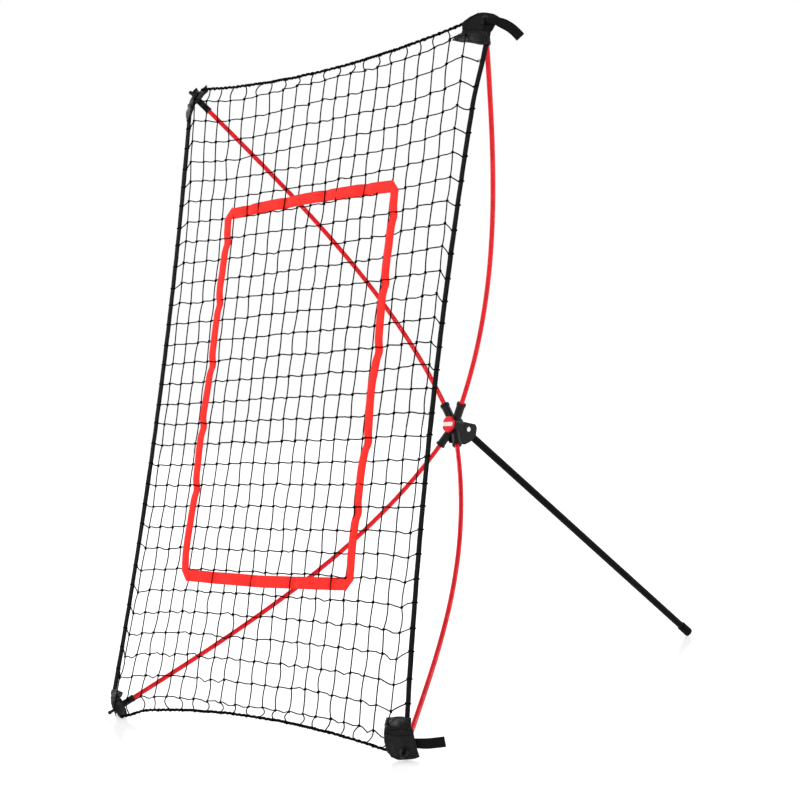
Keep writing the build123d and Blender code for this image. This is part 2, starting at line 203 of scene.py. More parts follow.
def strap(name, rows, thickness, columns=5):
    """A flat woven strap. Each row is (centre, half-width vector, normal)."""
    verts = []
    faces = []
    ring = []
    for k in range(columns):
        s = -1 + 2 * k / (columns - 1)
        ring.append((s, 1.0 if abs(s) < 0.99 else 0.45))
    ring = ring + [(s, -h) for s, h in reversed(ring)]
    n = len(ring)
    for centre, half, normal in rows:
        for s, h in ring:
            verts.append(centre + half * s + normal * (h * thickness / 2))
    for i in range(len(rows) - 1):
        for k in range(n):
            a = i * n + k
            b = i * n + (k + 1) % n
            faces.append((a, b, b + n, a + n))
    faces.append(tuple(reversed(range(n))))
    faces.append(tuple((len(rows) - 1) * n + k for k in range(n)))
    return new_object(name, verts, faces)


# ---------------------------------------------------------------- materials

def material(name, colour, roughness, metallic=0.0, coat=0.0, sheen=0.0, specular=0.5, bump=None,
             speckle=0.0, speckle_scale=300.0):
    """A procedural material: its colour and roughness vary with noise, and bump makes its relief."""
    mat = bpy.data.materials.new(name)
    mat.use_nodes = True
    nodes = mat.node_tree.nodes
    links = mat.node_tree.links
    bsdf = nodes["Principled BSDF"]
    bsdf.inputs["Base Color"].default_value = (*colour, 1)
    bsdf.inputs["Roughness"].default_value = roughness
    bsdf.inputs["Metallic"].default_value = metallic
    bsdf.inputs["Specular IOR Level"].default_value = specular
    bsdf.inputs["Coat Weight"].default_value = coat
    bsdf.inputs["Coat Roughness"].default_value = 0.08
    bsdf.inputs["Sheen Weight"].default_value = sheen
    coords = nodes.new("ShaderNodeTexCoord")
    if speckle:
        tex = nodes.new("ShaderNodeTexNoise")
        tex.inputs["Scale"].default_value = speckle_scale
        tex.inputs["Detail"].default_value = 5
        ramp = nodes.new("ShaderNodeValToRGB")
        low = [c * (1 - speckle) for c in colour]
        high = [min(1, c * (1 + speckle) + speckle * 0.002) for c in colour]
        ramp.color_ramp.elements[0].position = 0.3
        ramp.color_ramp.elements[0].color = (*low, 1)
        ramp.color_ramp.elements[1].position = 0.7
        ramp.color_ramp.elements[1].color = (*high, 1)
        links.new(coords.outputs["Object"], tex.inputs["Vector"])
        links.new(tex.outputs["Fac"], ramp.inputs["Fac"])
        links.new(ramp.outputs["Color"], bsdf.inputs["Base Color"])
        rough = nodes.new("ShaderNodeMapRange")
        rough.inputs["To Min"].default_value = max(0.02, roughness - 0.08)
        rough.inputs["To Max"].default_value = min(1, roughness + 0.08)
        links.new(tex.outputs["Fac"], rough.inputs["Value"])
        links.new(rough.outputs["Result"], bsdf.inputs["Roughness"])
    if bump:
        height, strength, distance = bump(nodes, links, coords)
        node = nodes.new("ShaderNodeBump")
        node.inputs["Strength"].default_value = strength
        node.inputs["Distance"].default_value = distance
        links.new(height, node.inputs["Height"])
        links.new(node.outputs["Normal"], bsdf.inputs["Normal"])
    return mat


def noise_bump(scale, strength, distance):
    """Fine, even grain."""
    def make(nodes, links, coords):
        tex = nodes.new("ShaderNodeTexNoise")
        tex.inputs["Scale"].default_value = scale
        tex.inputs["Detail"].default_value = 4
        links.new(coords.outputs["Object"], tex.inputs["Vector"])
        return tex.outputs["Fac"], strength, distance
    return make


def weave_bump(scale, strength, distance, along=(0, 0, 1), over=(1, 0.6, 0)):
    """Two crossed bands of ridges, as a plain weave has."""
    def make(nodes, links, coords):
        outs = []
        for axis in (along, over):
            turn = nodes.new("ShaderNodeMapping")
            turned = ACROSS.rotation_difference(Vector(axis))
            turn.inputs["Rotation"].default_value = turned.to_euler()
            wave = nodes.new("ShaderNodeTexWave")
            wave.inputs["Scale"].default_value = scale
            wave.inputs["Distortion"].default_value = 0.6
            wave.inputs["Detail"].default_value = 1
            links.new(coords.outputs["Object"], turn.inputs["Vector"])
            links.new(turn.outputs["Vector"], wave.inputs["Vector"])
            outs.append(wave.outputs["Fac"])
        mix = nodes.new("ShaderNodeMath")
        mix.operation = "MULTIPLY"
        links.new(outs[0], mix.inputs[0])
        links.new(outs[1], mix.inputs[1])
        return mix.outputs["Value"], strength, distance
    return make


MATS = {
    "net_cord": material("net_cord", (0.0018, 0.0018, 0.002), 0.8, specular=0.02, speckle=0.5,
                         speckle_scale=900, bump=noise_bump(1500, 0.6, 0.0004)),
    "webbing": material("webbing", (0.0045, 0.0042, 0.0045), 0.7, sheen=0.0, specular=0.07, speckle=0.5,
                        speckle_scale=700, bump=weave_bump(160, 0.8, 0.0006)),
    "coated_cloth": material("coated_cloth", (0.004, 0.0038, 0.0042), 0.38, specular=0.12, speckle=0.45,
                             speckle_scale=260, bump=weave_bump(210, 0.6, 0.0004)),
    "red_ribbon": material("red_ribbon", (0.93, 0.022, 0.016), 0.7, sheen=0.04, specular=0.08, speckle=0.14,
                           speckle_scale=120, bump=weave_bump(400, 0.3, 0.0002)),
    "red_fibreglass": material("red_fibreglass", (0.68, 0.003, 0.010), 0.2, coat=0.3, specular=0.08,
                               speckle=0.15, speckle_scale=60, bump=noise_bump(900, 0.08, 0.0002)),
    "black_plastic": material("black_plastic", (0.006, 0.0055, 0.006), 0.42, specular=0.18, speckle=0.35,
                              speckle_scale=400, bump=noise_bump(1400, 0.25, 0.0002)),
    "red_plastic": material("red_plastic", (0.78, 0.008, 0.02), 0.3, coat=0.08, specular=0.12, speckle=0.1,
                            speckle_scale=200, bump=noise_bump(1200, 0.08, 0.0001)),
    "pale_plastic": material("pale_plastic", (0.82, 0.76, 0.68), 0.4, speckle=0.06, speckle_scale=200,
                             bump=noise_bump(1200, 0.1, 0.0001)),
    "dark_steel": material("dark_steel", (0.035, 0.035, 0.04), 0.3, metallic=1.0, speckle=0.3,
                           speckle_scale=500, bump=noise_bump(900, 0.15, 0.0001)),
    "zinc_steel": material("zinc_steel", (0.55, 0.55, 0.57), 0.35, metallic=1.0, speckle=0.2,
                           speckle_scale=500, bump=noise_bump(900, 0.15, 0.0001)),
    "bright_steel": material("bright_steel", (0.8, 0.8, 0.8), 0.22, metallic=1.0, speckle=0.1,
                             speckle_scale=500, bump=noise_bump(700, 0.15, 0.0001)),
    "black_paint": material("black_paint", (0.0022, 0.002, 0.0018), 0.32, specular=0.05, speckle=0.4,
                            speckle_scale=250, bump=noise_bump(1100, 0.3, 0.0002)),
    "black_rubber": material("black_rubber", (0.0025, 0.0025, 0.0025), 0.55, specular=0.05, speckle=0.3,
                             speckle_scale=400, bump=noise_bump(1500, 0.3, 0.0002)),
}


def finish_piece(obj, body, slot, *nodes):
    """Gives a piece its material, its body and the CAD nodes that it stands for."""
    obj.data.materials.clear()
    obj.data.materials.append(MATS[slot])
    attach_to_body(obj, body)
    if nodes:
        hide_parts(*nodes)
    return obj


for entry in frame["record"]["subparts"]:
    node = frame["nodes"][entry["node"]]
    node.data.materials.clear()
    node.data.materials.append(MATS[entry["material_slot"]])

# ---------------------------------------------------------------- net

def knot_place(i, j):
    """Nominal u, v of the knot in column i and row j, both counted from 1 at the upper left."""
    return (i - MIDDLE_COL) * MESH, (MIDDLE_ROW - j) * MESH


knots = {}
for i in range(1, COLS + 1):
    for j in range(1, ROWS + 1):
        u, v = knot_place(i, j)
        jitter = direction(rng.gauss(0, 0.0007), rng.gauss(0, 0.0007), rng.gauss(0, 0.0006))
        knots[i, j] = warp(u, v) + jitter


def cord_between(a, b, bow, steps=4):
    """Points from a to b with a small sideways bow."""
    pts = []
    for k in range(steps + 1):
        t = k / steps
        pts.append(a.lerp(b, t) + bow * math.sin(math.pi * t))
    return pts


def garland(a, b, row):
    """A level cord from knot a to knot b: it leaves a knot high and meets the next one low."""
    step = rng.uniform(0.3, 1.5) * KINK
    sag = rng.gauss(0.0004, 0.0006 + 0.0016 * smooth((row - 22) / 8))
    pts = [a]
    for t, rise in ((0.1, step), (0.3, 0.55 * step - 0.3 * sag), (0.6, -0.35 * step - sag), (0.88, -step)):
        pts.append(a.lerp(b, t) + direction(0, rise, rng.gauss(0, 0.0003)))
    return pts + [b]


def join(parts):
    """One path from parts that each start where the one before ends."""
    path = parts[0]
    for p in parts[1:]:
        path = path + p[1:]
    return path


verts = []
faces = []
for i in range(1, COLS + 1):
    u, _ = knot_place(i, 1)
    parts = []
    for j in range(1, ROWS):
        slack = 0.0006 + 0.0012 * smooth((j - 20) / 10)
        bow = direction(rng.gauss(0, slack), 0, rng.gauss(0, slack * 0.6))
        parts.append(cord_between(knots[i, j], knots[i, j + 1], bow, 3))
    for sv, j in ((1, 1), (-1, ROWS)):
        spread = u * 1.015
        spread += LAY * belly(u, knot_place(i, 1)[1]) + rng.gauss(0, 0.002)
        end = at(spread, rope_place(spread, sv) - sv * 0.001, 0)
        curl = direction(rng.choice((-1, 1)) * rng.uniform(0.002, 0.007), 0, rng.gauss(0, 0.001))
        piece = cord_between(knots[i, j], end, curl, 6)
        if sv > 0:
            parts.insert(0, list(reversed(piece)))
        else:
            parts.append(piece)
    tube(verts, faces, join(parts), CORD, 6)
for j in range(1, ROWS + 1):
    _, v = knot_place(1, j)
    parts = []
    for i in range(1, COLS):
        parts.append(garland(knots[i, j], knots[i + 1, j], j))
    for su, i in ((-1, 1), (1, COLS)):
        attach = v * (0.985 + 0.024 * (v / HEIGHT) ** 2) + rng.gauss(0, 0.0015)
        if su > 0:
            attach -= BAND_DROP * smooth((0.36 - v) / 0.20) * smooth((v + 0.02) / 0.04)
        end = at(su * (belt_u(attach) - 0.004), attach, 0)
        piece = cord_between(knots[i, j], end, direction(0, rng.gauss(0, 0.001), 0), 4)
        if su < 0:
            parts.insert(0, list(reversed(piece)))
        else:
            parts.append(piece)
        ring = []
        for k in range(9):
            ang = 2 * math.pi * k / 8
            around = su * (0.004 + 0.0068 * math.sin(ang))
            ring.append(end + direction(around, 0.0012 * math.sin(ang / 2), 0.0022 * math.cos(ang)))
        tube(verts, faces, ring, CORD * 0.8, 5)
    tube(verts, faces, join(parts), CORD, 6)
for place in knots.values():
    tilt = Matrix.Rotation(rng.uniform(0, math.pi), 3, BACK)
    size = rng.uniform(0.9, 1.15)
    axes = (tilt @ ACROSS * KNOT * size, tilt @ UP * KNOT * 0.85 * size, BACK * KNOT * 0.8 * size)
    blob(verts, faces, place, axes, 0.35)
    loop = []
    for k in range(8):
        ang = 2 * math.pi * k / 7
        slant = axes[0] * (0.35 * math.cos(ang)) + axes[1] * (0.98 * math.cos(ang))
        loop.append(place + slant + axes[2] * (1.02 * math.sin(ang)))
    tube(verts, faces, loop, CORD * 0.75, 4, up=UP)
net = new_object("knotted_net", verts, faces)
finish_piece(net, "frame", "net_cord", "net_panel")

# ---------------------------------------------------------------- border ropes

for name, sv in (("top", 1), ("bottom", -1)):
    verts = []
    faces = []
    path = []
    for k in range(ROPE_STEPS + 1):
        u = -ROPE_REACH + 2 * ROPE_REACH * k / ROPE_STEPS
        wave = 0.0009 * noise.noise(Vector((u * 30, sv * 3.1, 0)))
        path.append(at(u, rope_place(u, sv) + sv * wave, 0))
    tube(verts, faces, path, ROPE, 8)
    rows = frames_along(path, BACK)
    for phase, pitch in ((0.0, 0.0125), (1.9, 0.0131)):
        coil = []
        for k in range(ROPE_STEPS * 3 + 1):
            f = k / 3
            n = min(ROPE_STEPS - 1, int(f))
            p = path[n].lerp(path[n + 1], f - n)
            t, side, over = rows[n]
            ang = phase + 2 * math.pi * (2 * ROPE_REACH * f / ROPE_STEPS) / pitch
            coil.append(p + side * (LASHING_OUT * math.cos(ang)) + over * (LASHING_OUT * math.sin(ang)))
        tube(verts, faces, coil, LASHING, 5)
    for i in range(1, COLS + 1):
        u = knot_place(i, 1)[0] * 1.015
        p = at(u, rope_place(u, sv), 0)
        blob(verts, faces, p, (ACROSS * 0.0032, UP * 0.0030, BACK * 0.0030), 0.4)
    rope = new_object(f"lashed_rope_{name}", verts, faces)
    finish_piece(rope, "frame", "net_cord", f"border_rope_{name}")

# ---------------------------------------------------------------- side bands

FLARE = {"left": 0.0, "right": 0.008}       # how far the band's top bends out
BAND = {"left": 0.012, "right": 0.0102}     # its width
for name, su in (("left", -1), ("right", 1)):
    rows = []
    for k in range(BAND_STEPS + 1):
        v = -BAND_REACH + 2 * BAND_REACH * k / BAND_STEPS
        twist = 0.10 * noise.noise(Vector((v * 9, su * 5.0, 1.0)))
        wave = 0.0006 * noise.noise(Vector((v * 40, su * 2.0, 4.0)))
        centre = at(su * (belt_u(v) + wave + FLARE[name] * smooth((v - 0.40) / 0.10)), v, 0)
        half = direction(math.cos(twist), 0, math.sin(twist)) * (BAND[name] / 2)
        slope = direction(su * 2 * EDGE_BOW * v / HALF_HEIGHT ** 2, 1, 0).normalized()
        normal = half.cross(slope).normalized()
        rows.append((centre, half, normal))
    band = strap(f"side_band_{name}_woven", rows, 0.0022)
    finish_piece(band, "frame", "webbing", f"side_band_{name}")

# ---------------------------------------------------------------- strike zone

RIBBON = 0.0095
FRONT = -0.0018
BEHIND = 0.0016
RIBBON_STEP = 0.0035
RIBBON_COLUMNS = 7
MITRE_ROWS = 6
MITRE_REACH = 0.2


def ribbon(name, line, outside, behind_at):
    """A ribbon along line (nominal u, v in meshes), with mitred ends, behind the cords near behind_at."""
    pts = [Vector((u * MESH, v * MESH, 0)) for u, v in line]
    path = []
    for n in range(len(pts) - 1):
        steps = max(2, int((pts[n + 1] - pts[n]).length / RIBBON_STEP))
        path += [pts[n].lerp(pts[n + 1], i / steps) for i in range(steps)]
    path.append(pts[-1])
    for _ in range(6):
        path = [path[0]] + [path[i - 1].lerp(path[i + 1], 0.5) for i in range(1, len(path) - 1)] + [path[-1]]
    verts = []
    faces = []
    out = Vector((*outside, 0))
    for n, centre in enumerate(path):
        s = (centre - pts[0]).length
        depth = FRONT
        for i in behind_at:
            depth += (BEHIND - FRONT) * math.exp(-((s - i * MESH) / 0.010) ** 2)
        depth += 0.0007 * noise.noise(Vector((s * 35, pts[0].x * 20, 3)))
        for c in range(RIBBON_COLUMNS):
            off = -1 + 2 * c / (RIBBON_COLUMNS - 1)
            shift = Vector((0, 0, 0))
            left = len(path) - 1 - n
            if n < MITRE_ROWS:
                way = (path[0] - path[MITRE_ROWS]).normalized()
                shift = way * ((MITRE_REACH - off) * RIBBON * (1 - n / MITRE_ROWS))
            elif left < MITRE_ROWS:
                way = (path[-1] - path[-1 - MITRE_ROWS]).normalized()
                shift = way * ((MITRE_REACH - off) * RIBBON * (1 - left / MITRE_ROWS))
            p = centre + shift + out * (off * RIBBON)
            curl = 0.0005 * off ** 2 + 0.0004 * noise.noise(Vector((s * 60, off * 1.5, 9 + pts[0].y)))
            verts.append(warp(p.x, p.y) + BACK * (depth + curl))
    for n in range(len(path) - 1):
        for c in range(RIBBON_COLUMNS - 1):
            i = n * RIBBON_COLUMNS + c
            faces.append((i, i + 1, i + 1 + RIBBON_COLUMNS, i + RIBBON_COLUMNS))
    obj = new_object(name, verts, faces)
    solid = obj.modifiers.new("thickness", "SOLIDIFY")
    solid.thickness = 0.0005
    solid.offset = 0
    finish_piece(obj, "frame", "red_ribbon", name.replace("_woven", ""))


ribbon("zone_ribbon_left_woven",
       ((-6.4, 8.7), (-6.4, 7.0), (-6.5, 5.5), (-6.5, 0.6), (-6.62, -1.2), (-6.58, -2.9), (-6.4, -5.4),
        (-6.5, -6.8), (-6.44, -7.6), (-6.2, -8.8)),
       (-1, 0), (1.4, 4.4, 7.4, 10.4, 13.4))
ribbon("zone_ribbon_right_woven",
       ((6.3, 8.7), (6.32, 6.6), (6.29, 3.4), (6.40, 1.7), (6.42, 1.0), (6.26, -0.3), (6.42, -2.4),
        (6.25, -3.6),
        (6.18, -7.0), (6.3, -8.85)),
       (1, 0), (1.4, 4.4, 7.4, 11.4, 14.4))
ribbon("zone_ribbon_top_woven",
       ((-6.4, 8.66), (-4.0, 8.78), (0.0, 8.85), (4.0, 8.78), (6.3, 8.66)),
       (0, 1), (1.5, 4.5, 7.5, 10.5))
ribbon("zone_ribbon_bottom_woven",
       ((-6.25, -8.78), (-4.0, -8.86), (0.0, -8.92), (4.0, -8.86), (6.3, -8.8)),
       (0, -1), (2.5, 5.5, 8.5, 11.5))

# ---------------------------------------------------------------- corner patches

# The rods' tips, as in part.py: where they are and which way they point
TIP_U = 0.38008
TIP_V = {1: 0.52792, -1: -0.53392}
TIP_W = 0.00419
TIP_AXIS = (0.489, 0.626, -0.607)
TAB_WAY = (0.78, 0.626, 0)
MM = 0.001


class Corner:
    """A rod's end: its tip, the rod's axis, the tab's direction and the third, away from the net's middle."""

    def __init__(self, su, sv):
        self.su = su
        self.sv = sv
        self.tip = at(su * TIP_U, TIP_V[sv], TIP_W)
        self.axis = direction(su * TIP_AXIS[0], sv * TIP_AXIS[1], TIP_AXIS[2]).normalized()
        self.level = Vector((su * TAB_WAY[0], TAB_WAY[1], 0)).normalized()
        self.tab = (self.level - self.axis * self.level.dot(self.axis)).normalized()
        self.over = self.axis.cross(self.tab).normalized()
        if self.over.dot(UP) * sv < 0:
            self.over = -self.over

    def plate(self, t, o, n=0.0):
        """A point in the plane across the rod's tip: t along the tab, o outwards, n past the tip, in mm."""
        return self.tip + (self.tab * t + self.over * o + self.axis * n) * MM

    def net(self, u, v, w):
        """A point in the net's frame, in mm, with u counted outwards."""
        return at(self.su * u * MM, v * MM, w * MM)


# Each patch in rows from its outer hem, across the eyelet and the fold, to the inner edge of its flap.
# The first rows are (t, o, n) across the rod's tip and the last two are (u, v, w) in the net's frame.
PATCHES = {
    "upper_right": (
        ((-13, 27.5, -1), (-5, 26.5, 0), (3, 25, 0), (11, 23.5, -1), (18, 20, -3)),
        ((-25, 15, 0), (-13, 14, 0), (0, 13, 1), (9, 12, 0), (16, 6, -2)),
        ((-35, 3, -2), (-17, 1, 0), (0, 0, 1), (9, -2, 0), (13.5, -8, -2)),
        ((-33, -18, -4), (-17, -21, -1), (-8, -24, 0), (0, -25.5, 0), (7.5, -25.5, -1)),
        ((331, 515.5, -7), (356, 510, -9), (372, 506, -8), (387, 501, -5), (398, 501, -2.5)),
        ((316.7, 511.3, -3), (342, 504, -5), (361, 499, -5), (383, 493, -4), (398, 492.5, -2.5)),
    ),
    "upper_left": (
        ((-22, 25, -7), (-10, 28, -3), (0, 29, -1), (9, 27, -2), (16, 24, -5)),
        ((-26, 13, -16), (-13, 13, -7), (0, 13, 1), (10, 12, -1), (17, 10, -5)),
        ((-26, -3, -18), (-13, -3, -8), (0, -3, 1), (10, -3, -1), (16.5, -5, -5)),
        ((-22, -19, -13), (-12, -20, -7), (0, -21, -2), (8, -20, -3), (13, -19, -6)),
        ((361, 507, -7), (369, 503, -8), (377, 501, -8), (385, 501, -6), (391, 502, -3)),
        ((373, 490, -3), (376, 486, -4), (379, 484, -4), (382, 483, -4), (386, 483, -2.5)),
    ),
    "lower_left": (
        ((-24, 19, -13), (-12, 17, -7), (0, 13.4, -0.5), (10, 13, 0), (17, 11, -2)),
        ((-28, 6, -18), (-14, 4, -9), (0, 2, 1), (10, 2, 0), (17, 1, -2)),
        ((-27, -9, -19), (-14, -9, -10), (0, -10, 1), (10, -11, 0), (17, -12, -3)),
        ((-25, -20, -19), (-13, -21, -12), (0, -22, -5), (9, -22, -4), (15, -21, -6)),
        ((347, -513, -9), (357, -509, -9), (368, -508, -8), (378, -509, -6), (387, -511, -4)),
        ((350, -505, -5), (360, -503, -5), (370, -502, -4), (379, -502, -4), (388, -503, -2.5)),
    ),
    "lower_right": (
        ((-21, 10, -2), (-10, 13, 0), (2, 13.2, 0), (12, 12, 0), (21, 8, -1)),
        ((-26, -3, -2), (-12, 0, 0), (0, 0, 1), (11, 0, 0.5), (20, -3, 0)),
        ((-26, -18, -2), (-13, -15, 1), (0, -15, 1.5), (11, -16, 1), (20, -18, 0)),
        ((-24, -36, -6), (-13, -34, -1), (0, -33, 0), (11, -33, 0), (19, -36, -2)),
        ((350, -502, -12), (364, -499.5, -12), (378, -497, -11), (390, -496, -8), (398, -498, -4)),
        ((342, -490.5, -3), (354, -489, -4), (368, -487, -4), (382, -486, -4), (394, -486, -2.5)),
    ),
}
FLAP_MAT = material("coated_flap", (0.0026, 0.0031, 0.0029), 0.22, specular=0.13, speckle=0.4,
                    speckle_scale=260, bump=weave_bump(210, 0.5, 0.0004))
CELLS = 10
EYELET_HOLE = 5.2 * MM
EYELET_FLAT = 8.5 * MM
HEM = 4
FOLD_ROW = 3 * CELLS
FOLD_STEP = 0.0013
BORDER_ROUNDS = 3
THREAD = 0.00024
STITCH_DEPTH = 0.0003
STITCH_ARCH = 0.00018


def relax(grid, rounds):
    """Softens a grid of points. Border points move only along their border."""
    rows = len(grid)
    cols = len(grid[0])
    for turn in range(rounds):
        old = [row[:] for row in grid]
        for r in range(rows):
            for c in range(cols):
                near = []
                if 0 < r < rows - 1:
                    near += [old[r - 1][c], old[r + 1][c]]
                if 0 < c < cols - 1:
                    near += [old[r][c - 1], old[r][c + 1]]
                if (r in (0, rows - 1)) and (c in (0, cols - 1)):
                    continue
                if r in (0, rows - 1) or c in (0, cols - 1):
                    if turn >= BORDER_ROUNDS:
                        continue
                    near = near[:2]
                grid[r][c] = old[r][c].lerp(sum(near, Vector((0, 0, 0))) / len(near), 0.5)
    return grid


def patch_grid(corner, rows, seed):
    """The patch's middle surface, wrinkled, and flat around the eyelet."""
    cage = [[corner.plate(*p) for p in row] for row in rows[:4]]
    cage += [[corner.net(*p) for p in row] for row in rows[4:]]
    grid = []
    for r in range((len(cage) - 1) * CELLS + 1):
        i = min(len(cage) - 2, r // CELLS)
        fr = r / CELLS - i
        line = []
        for c in range((len(cage[0]) - 1) * CELLS + 1):
            j = min(len(cage[0]) - 2, c // CELLS)
            fc = c / CELLS - j
            outer = cage[i][j].lerp(cage[i][j + 1], fc)
            inner = cage[i + 1][j].lerp(cage[i + 1][j + 1], fc)
            line.append(outer.lerp(inner, fr))
        grid.append(line)
    grid = relax(grid, 12)
    for r, line in enumerate(grid):
        for c, p in enumerate(line):
            rel = p - corner.tip
            along = rel.dot(corner.axis)
            flat = (rel - corner.axis * along).length
            calm = smooth((flat - EYELET_FLAT) / 0.008)
            fold = noise.noise(Vector((c * 0.10 + seed, r * 0.045, seed * 3.1)))
            crease = noise.noise(Vector((c * 0.05, r * 0.22, seed * 7.7)))
            p = p + corner.axis * (calm * (0.0011 * fold + 0.0007 * crease))
            if flat < EYELET_FLAT + 0.008:
                p = p + corner.axis * ((1 - calm) * (1.2 * MM - along))
            if r <= FOLD_ROW:
                p = p + corner.axis * (calm * FOLD_STEP)
            line[c] = p
    return grid


def grid_normals(grid):
    """The normal at each point of a grid."""
    rows = len(grid)
    cols = len(grid[0])
    out = []
    for r in range(rows):
        line = []
        for c in range(cols):
            a = grid[min(rows - 1, r + 1)][c] - grid[max(0, r - 1)][c]
            b = grid[r][min(cols - 1, c + 1)] - grid[r][max(0, c - 1)]
            line.append(a.cross(b).normalized())
        out.append(line)
    return out


def stitch_line(verts, faces, path, normals, lift, pitch=0.0032, run=0.0022):
    """Short raised stitches along a path on cloth."""
    travelled = 0.0
    start = None
    for i in range(1, len(path)):
        travelled += (path[i] - path[i - 1]).length
        if start is None:
            start = i - 1
        if travelled >= run:
            a = path[start] + normals[start] * lift
            b = path[i] + normals[i] * lift
            mid = a.lerp(b, 0.5) + normals[i] * STITCH_ARCH
            into = a - normals[start] * STITCH_DEPTH
            out = b - normals[i] * STITCH_DEPTH
            tube(verts, faces, [into, a.lerp(mid, 0.4), mid, b.lerp(mid, 0.4), out], THREAD, 4)
            travelled = -(pitch - run)
            start = None
        elif travelled < 0:
            start = None


def corner_patch(name, seed):
    """A thick, hemmed and stitched patch with a hole at the rod's tip."""
    corner = Corner(*CORNERS[name])
    grid = patch_grid(corner, PATCHES[name], seed)
    normals = grid_normals(grid)
    rows = len(grid)
    cols = len(grid[0])
    count = rows * cols
    verts = []
    for side in (1, -1):
        for r in range(rows):
            for c in range(cols):
                edge = min(r, c, rows - 1 - r, cols - 1 - c)
                half = 0.0006 + 0.00045 * (edge <= HEM)
                flat = (grid[r][c] - corner.tip).length
                half += 0.0005 * smooth((0.013 - flat) / 0.001)
                verts.append(grid[r][c] + normals[r][c] * (side * half))
    faces = []
    holes = set()
    for r in range(rows - 1):
        for c in range(cols - 1):
            a = r * cols + c
            centre = (grid[r][c] + grid[r + 1][c + 1]) / 2
            ring = (a, a + 1, a + 1 + cols, a + cols)
            if (centre - corner.tip).length < EYELET_HOLE:
                holes.update(ring)
                continue
            faces.append(ring)
            faces.append(tuple(i + count for i in reversed(ring)))
    kept = {i for f in faces for i in f}
    for i in holes & kept:
        for k in (i, i + count):
            rel = verts[k] - corner.tip
            along = rel.dot(corner.axis)
            flat = rel - corner.axis * along
            verts[k] = corner.tip + corner.axis * along + flat.normalized() * EYELET_HOLE
    border = {}
    for f in faces:
        if f[0] < count:
            for a, b in zip(f, f[1:] + f[:1]):
                border[a, b] = True
    for a, b in list(border):
        if (b, a) not in border:
            faces.append((b, a, a + count, b + count))
    shiny = {n for n, f in enumerate(faces) if min(i % count for i in f) // cols > FOLD_ROW}
    index = {old: new for new, old in enumerate(sorted({i for f in faces for i in f}))}
    verts = [v for i, v in enumerate(verts) if i in index]
    faces = [tuple(index[i] for i in f) for f in faces]
    patch = new_object(f"corner_patch_{name}_cloth", verts, faces)
    finish_piece(patch, "frame", "coated_cloth", f"corner_patch_{name}")
    patch.data.materials.append(FLAP_MAT)
    for poly in patch.data.polygons:
        poly.material_index = int(poly.index in shiny)
    verts = []
    faces = []
    seam = HEM - 1
    for side in (1, -1):
        lines = [
            [(seam, c) for c in range(seam, cols - seam)],
            [(rows - 1 - seam, c) for c in range(seam, cols - seam)],
            [(r, seam) for r in range(seam, rows - seam)],
            [(r, cols - 1 - seam) for r in range(seam, rows - seam)],
            [(FOLD_ROW - 2, c) for c in range(seam, cols - seam)],
        ]
        for line in lines:
            path = [grid[r][c] for r, c in line]
            ups = [normals[r][c] * side for r, c in line]
            stitch_line(verts, faces, path, ups, 0.0011)
    thread = new_object(f"patch_stitching_{name}", verts, faces)
    finish_piece(thread, "frame", "net_cord")
    return corner


# ---------------------------------------------------------------- pull tabs

TAB_WIDTH = 0.015
TAB_FREE = 0.042
TAB_RISE = {"upper_right": (-28, -54), "upper_left": (6, -6), "lower_left": (3, -4), "lower_right": (-4, 6)}
TAB_LIFT = {"upper_right": 2.0, "upper_left": 9.5, "lower_left": 0.0, "lower_right": 12.5}
TAB_ROOT = 18.3

# Behind the rod's tip and out from its axis, in mm
SLEEVE_PROFILE = ((36.0, 4.05), (36.0, 5.3), (35.4, 5.8), (33.2, 6.05), (31.0, 5.9), (30.2, 5.55),
                  (24.0, 5.5), (23.4, 5.2), (22.6, 5.2), (22.0, 5.5), (12.0, 5.55), (6.0, 5.7),
                  (4.6, 6.4), (4.2, 7.0), (1.2, 7.0), (0.7, 6.7), (0.6, 2.8), (-4.0, 2.6),
                  (-9.0, 2.5), (-9.6, 2.6), (-10.4, 3.1), (-11.6, 3.3), (-12.8, 3.1), (-13.8, 2.3),
                  (-14.4, 1.2), (-14.6, 0.05))
RIBS_FROM = 6.0
RIBS_TO = 30.0
GROOVE = (23.4, 22.6)


def end_sleeve(name, corner):
    """The moulded sleeve on a rod's end, turned: a flared mouth, a groove, a shoulder and a ball pin."""
    verts = []
    faces = []
    sides = 32
    for back, radius in SLEEVE_PROFILE:
        for k in range(sides):
            ang = 2 * math.pi * k / sides
            ribbed = RIBS_FROM < back < RIBS_TO and back not in GROOVE
            rib = 0.12 * max(0.0, math.cos(8 * ang)) if ribbed else 0.0
            away = (corner.tab * math.cos(ang) + corner.over * math.sin(ang)) * ((radius + rib) * MM)
            verts.append(corner.plate(0, 0, -back) + away)
    for i in range(len(SLEEVE_PROFILE) - 1):
        for k in range(sides):
            a = i * sides + k
            b = i * sides + (k + 1) % sides
            faces.append((a, b, b + sides, a + sides))
    faces.append(tuple(reversed(range(sides))))
    faces.append(tuple(range(len(verts) - sides, len(verts))))
    sleeve = new_object(f"end_sleeve_{name}_moulded", verts, faces)
    finish_piece(sleeve, "frame", "black_plastic", f"end_sleeve_{name}")


